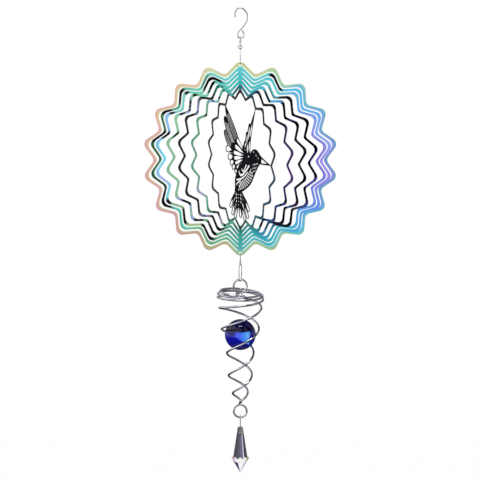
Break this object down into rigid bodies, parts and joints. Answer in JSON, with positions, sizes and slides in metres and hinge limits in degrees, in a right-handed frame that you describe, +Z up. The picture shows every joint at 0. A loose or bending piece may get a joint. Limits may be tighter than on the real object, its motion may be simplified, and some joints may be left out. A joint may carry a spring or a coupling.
{
  "type": "hanging wind spinner",
  "caption": "Hanging garden wind spinner: twisted scalloped steel rings around a pierced hummingbird, with a spiral wire tail, glass ball and crystal drop.",
  "frame": {"origin": "inside of the hook's crown, at the point that rests on what the spinner hangs from", "axes": "+Z up along the hanging line, X across the face of the outer ring, -Y towards the viewer of the flat disc"},
  "size_m": [0.195, 0.1234, 0.485],
  "materials": {
    "coloured_steel": "mirror-polished stainless sheet with a rainbow heat-tinted coating",
    "chrome_wire": "bright plated round wire",
    "swivel_steel": "dark nickel-plated swivel fittings",
    "cobalt_glass": "solid cobalt blue glass ball",
    "clear_crystal": "clear cut crystal, polished facets"
  },
  "bodies": {
    "hanger": {"hanging_hook": "chrome_wire"},
    "top_eye": {"swivel_upper_eye": "swivel_steel"},
    "top_barrel": {"swivel_barrel": "swivel_steel"},
    "bottom_eye": {"swivel_lower_eye": "swivel_steel"},
    "jump_ring": {"jump_ring": "swivel_steel"},
    "disc_link": {"disc_link": "chrome_wire"},
    "ring_1": {"disc_ring_1": "coloured_steel"},
    "ring_2": {"disc_ring_2": "coloured_steel"},
    "ring_3": {"disc_ring_3": "coloured_steel"},
    "ring_4": {"disc_ring_4": "coloured_steel"},
    "ring_5": {"disc_ring_5": "coloured_steel"},
    "ring_6": {"disc_ring_6": "coloured_steel"},
    "ring_7": {"disc_ring_7": "coloured_steel", "hummingbird": "coloured_steel"},
    "tail_eye": {"tail_swivel_eye": "swivel_steel"},
    "tail_barrel": {"tail_swivel_barrel": "swivel_steel"},
    "tail_snap": {"tail_snap": "swivel_steel"},
    "tail_cage": {"tail_top_ring": "chrome_wire", "spiral_strand_a": "chrome_wire", "spiral_strand_b": "chrome_wire", "tail_bottom_ring": "chrome_wire"},
    "ball": {"glass_ball": "cobalt_glass"},
    "crystal_pin": {"crystal_pin": "chrome_wire"},
    "crystal": {"crystal_prism": "clear_crystal"}
  },
  "joints": [
    {"name": "top_eye_swing", "type": "hinge", "parent": "hanger", "child": "top_eye", "pos_m": [0, 0, -0.029], "axis": [1, 0, 0], "range_deg": [-60, 60]},
    {"name": "top_barrel_spin", "type": "hinge", "parent": "top_eye", "child": "top_barrel", "pos_m": [0, 0, -0.032], "axis": [0, 0, 1], "continuous": true},
    {"name": "bottom_eye_spin", "type": "hinge", "parent": "top_barrel", "child": "bottom_eye", "pos_m": [0, 0, -0.032], "axis": [0, 0, 1], "continuous": true},
    {"name": "jump_ring_swing", "type": "hinge", "parent": "bottom_eye", "child": "jump_ring", "pos_m": [0, 0, -0.0371], "axis": [0, 1, 0], "range_deg": [-45, 45]},
    {"name": "disc_link_swing", "type": "hinge", "parent": "jump_ring", "child": "disc_link", "pos_m": [0, 0, -0.03985], "axis": [1, 0, 0], "range_deg": [-45, 45]},
    {"name": "disc_swing", "type": "hinge", "parent": "disc_link", "child": "ring_1", "pos_m": [0, 0, -0.05535], "axis": [0, 1, 0], "range_deg": [-45, 45]},
    {"name": "ring_2_twist", "type": "hinge", "parent": "ring_1", "child": "ring_2", "pos_m": [0, 0, -0.152], "axis": [0, 0, -1], "range_deg": [-7, 23]},
    {"name": "ring_3_twist", "type": "hinge", "parent": "ring_2", "child": "ring_3", "pos_m": [0, 0, -0.152], "axis": [0, 0, -1], "range_deg": [-2, 28]},
    {"name": "ring_4_twist", "type": "hinge", "parent": "ring_3", "child": "ring_4", "pos_m": [0, 0, -0.152], "axis": [0, 0, -1], "range_deg": [-14, 16]},
    {"name": "ring_5_twist", "type": "hinge", "parent": "ring_4", "child": "ring_5", "pos_m": [0, 0, -0.152], "axis": [0, 0, -1], "range_deg": [-11.5, 18.5]},
    {"name": "ring_6_twist", "type": "hinge", "parent": "ring_5", "child": "ring_6", "pos_m": [0, 0, -0.152], "axis": [0, 0, -1], "range_deg": [-11.5, 18.5]},
    {"name": "ring_7_twist", "type": "hinge", "parent": "ring_6", "child": "ring_7", "pos_m": [0, 0, -0.152], "axis": [0, 0, -1], "range_deg": [-15, 15]},
    {"name": "tail_eye_swing", "type": "hinge", "parent": "ring_1", "child": "tail_eye", "pos_m": [0, 0, -0.24965], "axis": [1, 0, 0], "range_deg": [-40, 40]},
    {"name": "tail_barrel_spin", "type": "hinge", "parent": "tail_eye", "child": "tail_barrel", "pos_m": [0, 0, -0.259], "axis": [0, 0, 1], "continuous": true},
    {"name": "tail_snap_spin", "type": "hinge", "parent": "tail_barrel", "child": "tail_snap", "pos_m": [0, 0, -0.259], "axis": [0, 0, 1], "continuous": true},
    {"name": "tail_cage_swing", "type": "hinge", "parent": "tail_snap", "child": "tail_cage", "pos_m": [0, 0, -0.2779], "axis": [0, 1, 0], "range_deg": [-30, 30]},
    {"name": "ball_lift", "type": "slide", "parent": "tail_cage", "child": "ball", "axis": [0, 0, 1], "range_m": [0, 0.02]},
    {"name": "crystal_pin_swing", "type": "hinge", "parent": "tail_cage", "child": "crystal_pin", "pos_m": [0, 0, -0.42365], "axis": [1, 0, 0], "range_deg": [-45, 45]},
    {"name": "crystal_swing", "type": "hinge", "parent": "crystal_pin", "child": "crystal", "pos_m": [0, 0, -0.44065], "axis": [0, 1, 0], "range_deg": [-45, 45]}
  ]
}
